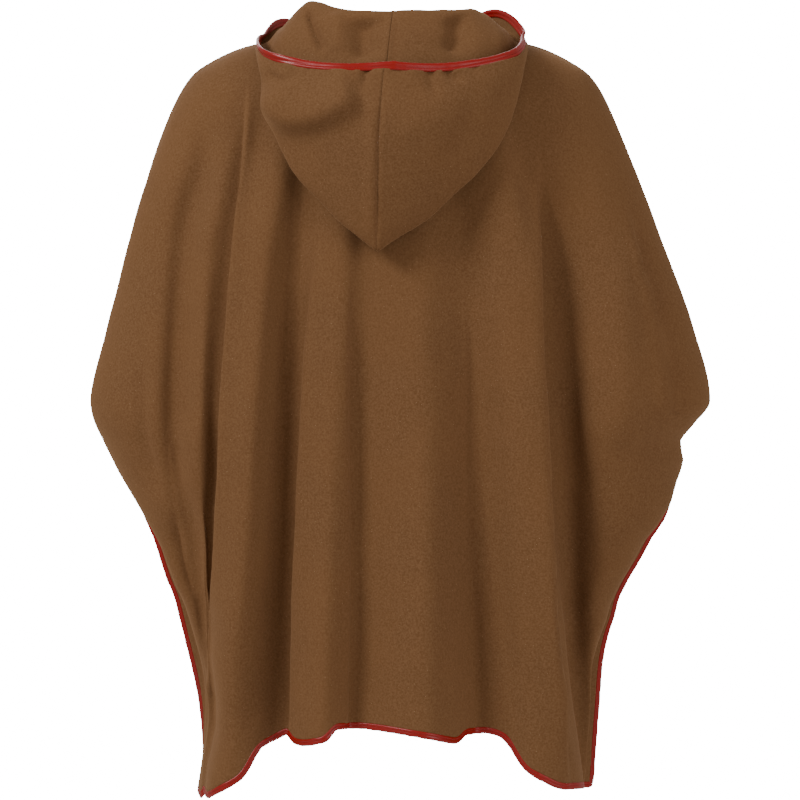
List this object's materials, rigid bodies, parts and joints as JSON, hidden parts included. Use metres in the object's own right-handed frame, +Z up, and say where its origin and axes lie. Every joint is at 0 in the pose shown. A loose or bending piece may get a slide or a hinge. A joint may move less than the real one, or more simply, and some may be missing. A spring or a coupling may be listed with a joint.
{
  "type": "hooded fleece poncho",
  "caption": "Hooded pull-over poncho of soft fleece with a bound hood, hem and open sides, hanging as worn with the elbows out.",
  "frame": {"origin": "the middle of the neck hole, level with the tops of the shoulders beside the neck, where the wearer's shoulders carry the garment", "axes": "+Z up; the wearer faces -Y, so the hood hangs on the +Y side; +X is the wearer's left"},
  "size_m": [0.7751, 0.3875, 0.9766],
  "materials": {
    "fleece": "soft brushed pile, matt",
    "binding": "satin binding tape"
  },
  "bodies": {
    "root": {"back_panel": "fleece", "front_panel": "fleece", "hood_left": "fleece", "hood_right": "fleece", "back_binding": "binding", "front_binding": "binding", "hood_binding": "binding"}
  },
  "joints": []
}
